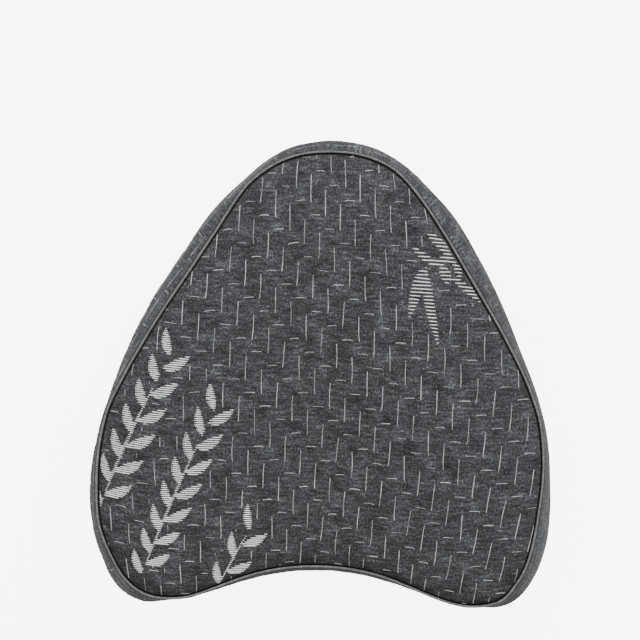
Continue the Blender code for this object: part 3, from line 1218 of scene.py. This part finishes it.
def lay_face_floats(store, leaves, shoot_at, seed):
    """Lay every float of one face, cut at the seam and round the leaves."""
    rng = np.random.default_rng(seed)
    for centre in lattice_points():
        if np.abs(centre).max() <= FACE_REACH:
            for path, width in float_paths(centre, rng):
                keep = inside_face(path) & clear_of_leaves(path, leaves)
                lay_yarn(store, shoot_at, path, keep, width, FLOAT_HEIGHT)


front_store = YarnStore()
lay_face_floats(front_store, (*RIGHT_SPRAY, *LEFT_TWIGS), on_front, FLOAT_SEED)
front_floats = front_store.build("front_floats", grey_yarn)
back_store = YarnStore()
lay_face_floats(back_store, (), on_back, FLOAT_SEED + 1)
back_floats = back_store.build("back_floats", grey_yarn)
print("floats on the front and back faces:", front_store.count, back_store.count)

# %% Lay the floats on the boxing strip
BOXING_MARGIN = 0.0035
BOXING_FLOAT_THINNING = 0.75
BOXING_COLUMNS = 9


def lay_boxing_floats(store):
    """Lay the floats of the boxing strip, whose columns run along it."""
    rng = np.random.default_rng(FLOAT_SEED + 2)
    repeats = int(round(SEAM_LENGTH / -LATTICE_DOWN[1]))
    stretch = SEAM_LENGTH / (repeats * -LATTICE_DOWN[1])
    for down in range(repeats):
        for right in range(-BOXING_COLUMNS, BOXING_COLUMNS + 1):
            run = right * LATTICE_RIGHT[1] - down * LATTICE_DOWN[1] * stretch
            slack = 1.0 - math.sin(2.0 * math.pi * run / SEAM_LENGTH)
            thin = 1.0 - BOXING_FLOAT_THINNING * slack / 2.0
            for path, width in float_paths(np.array([right * LATTICE_RIGHT[0], run]), rng):
                plan = seam_at(path[:, 1])
                room = seam_level(plan[:, 0], plan[:, 1]) - BOXING_MARGIN
                keep = np.abs(path[:, 0]) < room
                lay_yarn(store, on_boxing, path, keep, width * thin, FLOAT_HEIGHT * thin)


boxing_store = YarnStore()
lay_boxing_floats(boxing_store)
boxing_floats = boxing_store.build("boxing_floats", grey_yarn)
print("floats on the boxing strip:", boxing_store.count)

# %% [markdown]
# ## Every piece on the one body
# Every piece rides on the one body. The cover and the two pipings stand in for the plain solids,
# which are hidden.

yarn_pieces = (front_leaves, front_floats, back_floats, boxing_floats)
for piece in (cover, front_piping, back_piping, *yarn_pieces):
    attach(piece, "root")
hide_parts("pillow")
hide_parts("front_piping")
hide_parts("back_piping")

# %% [markdown]
# ## Studio
# The pillow lies on a sheet of white paper that glows, so that the ground comes out white as in
# a cut-out picture. Three soft lights stand beyond the pointed end, the right one strongest.
# With a weak sky they light the upper edges and leave the folds at the lobes dark. The sheet is
# left out of diffuse and glossy rays, or its glow would light the pillow from below.

# %% Add the floor and the lights
FLOOR_HALF_SIZE = 6.0
FLOOR_DROP = 0.0001
FLOOR_HEX = "#f6f6f6"
FLOOR_GLOW = 7.5
SKY_STRENGTH = 0.62
SOFTBOXES = (  # name, place, size in metres and power in watts
    ("overhead_softbox", (-0.15, 1.20, 1.85), 1.3, 18.0),
    ("right_softbox", (1.0, 1.75, 1.0), 1.0, 48.0),
    ("left_softbox", (-1.5, 1.2, 1.0), 1.0, 17.0),
)


def add_floor():
    """Add the lit white sheet just under the pillow."""
    material, tree, shader = new_material("matte_white_paper")
    paper = linear(FLOOR_HEX)
    set_sockets(shader, {
        "Base Color": paper, "Roughness": 0.9,
        "Emission Color": paper, "Emission Strength": FLOOR_GLOW,
    })
    data = bpy.data.meshes.new("floor")
    reach = FLOOR_HALF_SIZE
    corners = ((-reach, -reach), (reach, -reach), (reach, reach), (-reach, reach))
    data.from_pydata([(x, y, -FLOOR_DROP) for x, y in corners], [], [(0, 1, 2, 3)])
    data.materials.append(material)
    floor = add_to_scene("floor", data)
    floor.visible_diffuse = floor.visible_glossy = False


add_floor()
for light_name, place, size, power in SOFTBOXES:
    light = bpy.data.lights.new(light_name, "AREA")
    light.shape = "SQUARE"
    light.size = size
    light.energy = power
    lamp = add_to_scene(light_name, light)
    lamp.location = place
    lamp.rotation_mode = "QUATERNION"
    lamp.rotation_quaternion = (-Vector(place)).to_track_quat("-Z", "Y")
sky = bpy.data.worlds.new("studio_air")
sky.use_nodes = True
white = linear("#ffffff")
set_sockets(sky.node_tree.nodes["Background"], {"Color": white, "Strength": SKY_STRENGTH})
bpy.context.scene.world = sky
